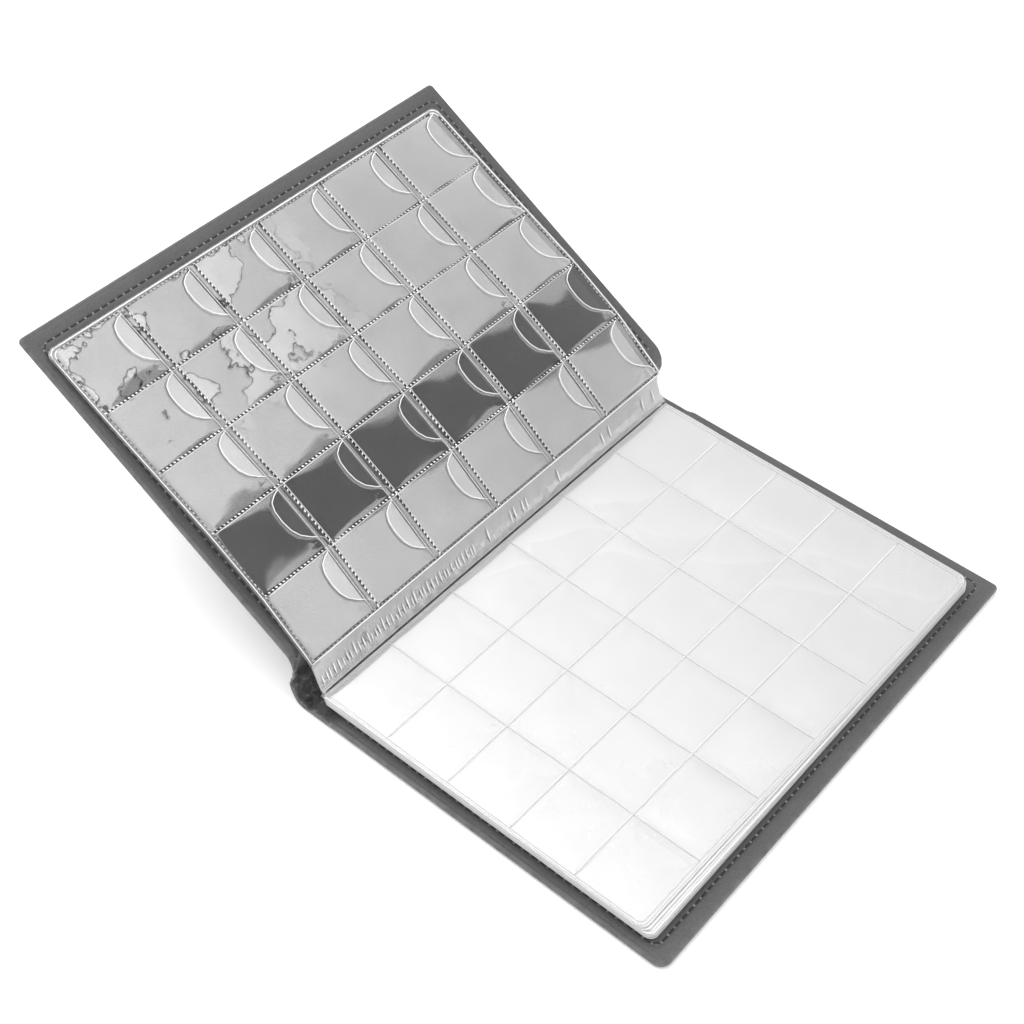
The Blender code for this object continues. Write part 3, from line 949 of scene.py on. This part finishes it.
def build_welds(name, sheet, beads, side, fine):
    """Welds that hold the films together: between the pockets and round the leaf's outline. Where
    they aren't fine, each is one low ridge."""
    lift = side * (FILM_GAP + FILM_THICKNESS) if side > 0 else FILM_THICKNESS
    for start, end, dash, radius, shade in pocket_welds():
        if fine:
            rope(beads, sheet, start, end, lift, dash, radius, shade)
        else:
            weld_line(beads, sheet, start, end, lift * 0.6, 0.3 * ROPE_WIDTH, wobble=0.2 * MM)
    inner_dash = 1.2 * MM if fine else 0.0
    for inset, radius, dash in ((0.9 * MM, 0.24 * MM, 0.0), (2.2 * MM, 0.2 * MM, inner_dash)):
        corner = LEAF_CORNER - inset * 0.4
        low, high = LEAF_SHIFT - LEAF_HALF + inset, LEAF_SHIFT + LEAF_HALF - inset
        near, out = inset * 0.6, LEAF_WIDTH - inset
        gap = DASH_GAP if dash else 0.0
        for start, end in (
            ((near, low), (out - corner, low)), ((near, high), (out - corner, high)),
            ((out, low + corner), (out, high - corner)), ((near, low), (near, high)),
        ):
            weld_line(beads, sheet, start, end, lift, radius, dash, gap)
            if dash:
                # Painted shade along the dashed outline weld.
                painted_weld_shade(beads, sheet, start, end, lift - 0.05 * MM, 0.5 * MM)
        for v, sign in ((low + corner, -1), (high - corner, 1)):
            arc = []
            for i in range(9):
                angle = math.pi / 2 * i / 8
                u = out - corner + corner * math.cos(angle)
                arc.append((sheet.point(u, v + sign * corner * math.sin(angle), lift), sheet.normal(u)))
            beads.tube(arc, radius, 0, flat=0.55)
    return beads.make(name, [WELD_FILM if fine else GREY_WELD, PAINTED_WELD_SHADE])


def turned_sheet():
    """Leaf 1, bowed over the front cover and drawn down to the gutter at its inner edge."""
    places = (
        (0.0, -8.4, 2.6), (1.5, -7.1, 3.4), (33.5, 24.4, 8.1), (65.5, 56.3, 8.9),
        (97.5, 88.2, 7.3), (129.5, 120.1, 5.8), (161.5, 152.1, 4.9), (163.7, 154.3, 4.8),
    )
    return Sheet([(u * MM, *front_place(reach * MM, lift * MM)) for u, reach, lift in places])


def stack_height(u):
    """The upper side of the stack: it rises out of the gutter and then falls a little outwards."""
    rise = 0.4 * MM * math.exp(-(((u - 18 * MM) / (16 * MM)) ** 2))
    return STACK_TOP + rise - 0.9 * MM * u / LEAF_WIDTH


def stacked_sheet(number, pull):
    """Leaf 2 to 10 as it lies. The lower a leaf, the further it has slipped towards the head."""
    share = (BOTTOM_LEAF - number) / (BOTTOM_LEAF - 2)
    knots = []
    for u in steps_between(0, LEAF_WIDTH, 6 * MM):
        z = STACK_BOTTOM + (stack_height(u) - STACK_BOTTOM) * share
        z += 0.08 * MM * ripple(u * 30, number * 3.3)
        knots.append((u, STACK_X + u, z))
    slipped = 1.6 * MM * (1 - share)
    return Sheet(knots, slide=slipped, drift=-2.4 * MM, pull=pull, short=2 * MM)


def finish_leaf(objs, number, nodes_of):
    """Hides the model's pieces that a leaf's pieces replace. The pieces of leaves 3 to 10 are tied to their
    bodies; those of leaves 1 and 2 stay where they were built, with their placing baked into their meshes.
    """
    for obj, nodes in zip(objs, nodes_of):
        if nodes:
            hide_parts(*nodes)
        if number == 1:
            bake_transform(obj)
        elif number == 2:
            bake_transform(obj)
        else:
            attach(obj, f"page_{number:02d}")


def build_leaf(number, sheet, side, materials, bulge, fine):
    """A leaf with all its pockets modelled. materials are its film's, where bare and in a pocket."""
    name = f"leaf_{number:02d}"
    page = f"page_{number:02d}"
    seed = number * 1.9
    back = bulge * (0.45 if side > 0 else 0.75)
    base = build_base(name + "_base", sheet, side, seed, back, materials[:2])
    pockets, beads = build_pockets(name + "_pockets", sheet, side, seed, bulge, materials[2])
    welds = build_welds(name + "_welds", sheet, beads, side, fine)
    rows = [f"{page}_pocket_row_{row + 1}" for row in range(ROWS)]
    finish_leaf((base, pockets, welds), number, ([page + "_base"], rows, []))


def build_lower_leaf(number):
    """A leaf low in the stack: one quilted film with its welds, since only its edges show."""
    name = f"leaf_{number:02d}"
    page = f"page_{number:02d}"
    pull = (0.35 + 0.35 * math.sin(number * 2.3) + (1.9 if number == 3 else 0.0)) * MM
    sheet = stacked_sheet(number, pull)
    base = build_base(name + "_films", sheet, -1, number * 1.9, 0.12 * MM, [STACKED_FILM] * 2)
    welds = build_welds(name + "_welds", sheet, Build(), -1, False)
    finish_leaf((base, welds), number, ([page + "_base", page + "_pockets"], []))


def build_gutter_film():
    """The film that joins leaf 1 to the foot of the stack, puckered across the gutter."""
    hinge = JOINTS["page_01_hinge"]["pos_m"]
    length = 18 * MM
    knots = [
        (0.0, STACK_X - 0.8 * MM, STACK_TOP - 0.2 * MM),
        (3 * MM, STACK_X - 2.3 * MM, STACK_TOP + 1.4 * MM),
        (7 * MM, STACK_X - 4.1 * MM, STACK_TOP + 4.4 * MM),
        (12 * MM, STACK_X - 5.7 * MM, STACK_TOP + 8.5 * MM),
        (length, STACK_X - 6.9 * MM, hinge[2] - 2.6 * MM),
    ]
    us = np.linspace(0, length, 22)
    vs = np.linspace(LEAF_SHIFT - LEAF_HALF + 1.0 * MM, LEAF_SHIFT + LEAF_HALF - 1.0 * MM, 260)
    curve = np.array(knots)
    build = Build()
    rows = []
    for u in us:
        x, z = np.interp(u, curve[:, 0], curve[:, 1]), np.interp(u, curve[:, 0], curve[:, 2])
        middle = math.sin(math.pi * u / length)
        row = []
        for v in vs:
            tail = 0.45 + 0.55 * smooth_step((0.02 - v) / 0.12)
            pucker = ripple(v * 230, u * 60, 4.2) + 0.5 * ripple(v * 520, u * 150, 9.1)
            end = 1 - smooth_step((v - vs[0]) / (30 * MM))
            lift = pucker * 0.75 * MM * middle * tail * (1 - end)
            aside = (0.9 * end - 0.2) * MM * middle
            row.append((float(x) + lift * 0.6 + aside, v, float(z) + lift * 0.5))
        rows.append(row)
    build.grid(rows)
    v = vs[0] + 3 * MM
    while v < vs[-1] - 4 * MM:
        own = ripple(v * 310, 2.6)
        if v < -0.02 or own > 0.2:
            j = int(np.argmin(abs(vs - v)))
            start, end = Vector(rows[5][j]), Vector(rows[12 + int(5 * own)][j])
            rise = Vector((0.45, 0, 0.35)) * MM
            path = [(start.lerp(end, t) + rise, (0.7, 0, 0.7)) for t in (0, 0.3, 0.6, 1)]
            build.tube(path, (0.24 + 0.1 * own) * MM, 1, flat=0.6)
        v += (2.5 + 0.7 * own) * MM
    obj = build.make("gutter_film", [GUTTER_FILM, WELD_FILM], thickness=FILM_THICKNESS)
    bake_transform(obj)


def build_binding():
    """The leaves' inner margins, welded into one ribbed block in the gutter."""
    low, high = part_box("binding_strip")
    ribs = 10
    build = Build()
    rows = []
    for v in np.linspace(low.y + 4 * MM, high.y - 2 * MM, 150):
        sway = 0.25 * MM * ripple(v * 60, 2.2)
        ring = []
        for i in range(ribs):
            z = low.z + (high.z - low.z) * i / (ribs - 1)
            rib = 0.22 * MM * (1 if i % 2 else -1)
            lean = (high.x - low.x) * 0.5 * (i / (ribs - 1))
            ring.append((high.x - 0.3 * MM + rib + sway - lean * 0.3, v, z))
        for i in range(ribs - 1, -1, -1):
            z = low.z + (high.z - low.z) * i / (ribs - 1)
            rib = 0.15 * MM * (1 if i % 2 else -1)
            lean = (high.x - low.x) * 0.85 * (i / (ribs - 1))
            ring.append((low.x + 0.3 * MM + rib + sway + lean * 0.6, v, z))
        rows.append(ring)
    build.grid(rows, 0, around=True)
    last = 2 * ribs * (len(rows) - 1)
    build.faces.append(tuple(range(2 * ribs))[::-1])
    build.faces.append(tuple(range(last, last + 2 * ribs)))
    build.numbers += [0, 0]
    obj = build.make("binding_block", [GREY_WELD])
    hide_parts("binding_strip")
    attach(obj, "back_cover")


# ---------------------------------------------------------------- studio


def build_floor():
    m = Nodes("floor")
    m.join(m.colours(m.noise(3.0), (0.95, 0.95, 0.95), (0.96, 0.96, 0.96)), m.shader.inputs["Base Color"])
    m.shader.inputs["Roughness"].default_value = 0.8
    build = Build()
    sides = (-FLOOR_REACH, FLOOR_REACH)
    build.grid([[(x, y, FLOOR_Z) for x in sides] for y in sides])
    obj = build.make("floor", [m.material], smooth=False)


def build_light():
    """A bright studio all round, with one dark flag of ragged cloth high on the head side."""
    world = bpy.data.worlds.new("studio")
    world.use_nodes = True
    bpy.context.scene.world = world
    tree = world.node_tree

    def add(kind, values=(), **settings):
        node = tree.nodes.new(kind)
        for key, value in settings.items():
            setattr(node, key, value)
        for socket, value in values:
            if isinstance(value, (int, float, tuple)):
                node.inputs[socket].default_value = value
            else:
                tree.links.new(value, node.inputs[socket])
        return node.outputs[0]

    def ramp(value, low, high, first=0.0, last=1.0):
        return add("ShaderNodeMapRange", (
            ("Value", value), ("From Min", low), ("From Max", high), ("To Min", first), ("To Max", last)
        ))

    def times(a, b):
        return add("ShaderNodeMath", ((0, a), (1, b)), operation="MULTIPLY")

    def band(value, low, high, soft=0.012):
        return times(
            ramp(value, low - soft, low + soft), ramp(value, high - soft, high + soft, 1.0, 0.0)
        )

    place = tree.nodes.new("ShaderNodeTexCoord").outputs["Generated"]
    split = tree.nodes.new("ShaderNodeSeparateXYZ")
    tree.links.new(place, split.inputs["Vector"])
    ragged = add("ShaderNodeTexNoise", (("Vector", place), ("Scale", 16.0), ("Detail", 5.0)))
    shifted = add(
        "ShaderNodeMath", ((0, ragged), (1, FLAG_RAGGED), (2, split.outputs["X"])),
        operation="MULTIPLY_ADD",
    )
    y = split.outputs["Y"]
    flag = times(band(shifted, FLAG_FROM, FLAG_TO), ramp(y, 0.22, 0.30))
    tail_side = ramp(y, 0.05, 0.30, 1.35, 1.0)
    head_side = ramp(y, 0.30, 0.68, 3.0, 1.2)
    bright = add("ShaderNodeMix", ((0, ramp(y, 0.05, 0.30)), (2, tail_side), (3, head_side)))
    radiance = add("ShaderNodeMix", ((0, flag), (2, bright), (3, FLAG_RADIANCE)))
    background = tree.nodes["Background"]
    tree.links.new(radiance, background.inputs["Color"])
    background.inputs["Strength"].default_value = 0.9
    key = bpy.data.lights.new("key", "AREA")
    key.energy = 5.0
    key.size = 0.7
    lamp = bpy.data.objects.new("key", key)
    lamp.location = (-0.55, -0.35, 0.9)
    lamp.rotation_euler = (Vector((0, 0, 0)) - lamp.location).to_track_quat("-Z", "Y").to_euler()
    bpy.context.scene.collection.objects.link(lamp)


def build_camera():
    data = bpy.data.cameras.new("camera")
    data.lens = CAMERA_LENS
    data.sensor_width = 36.0
    data.clip_start = 0.01
    camera = bpy.data.objects.new("camera", data)
    level = math.cos(CAMERA_ELEVATION)
    back = Vector((
        level * math.cos(CAMERA_AZIMUTH), level * math.sin(CAMERA_AZIMUTH), math.sin(CAMERA_ELEVATION)
    ))
    camera.rotation_mode = "QUATERNION"
    camera.rotation_quaternion = back.to_track_quat("Z", "Y") @ Quaternion((0, 0, 1), CAMERA_ROLL)
    camera.location = CAMERA_PLACE
    bpy.context.scene.collection.objects.link(camera)
    bpy.context.scene.camera = camera
    bpy.context.scene.view_settings.view_transform = "Standard"


build_wrap()
build_seam("back_cover")
build_seam("front_cover")
build_leaf(1, turned_sheet(), 1, (CLEAR_FILM, OPEN_FILM, POCKET_FILM), 0.65 * MM, True)
build_leaf(2, stacked_sheet(2, 3.6 * MM), -1, (PAGE_FILM, PAGE_FILM, PAGE_FILM), 0.5 * MM, False)
for leaf in range(3, BOTTOM_LEAF + 1):
    build_lower_leaf(leaf)
build_gutter_film()
build_binding()
build_floor()
build_light()
build_camera()
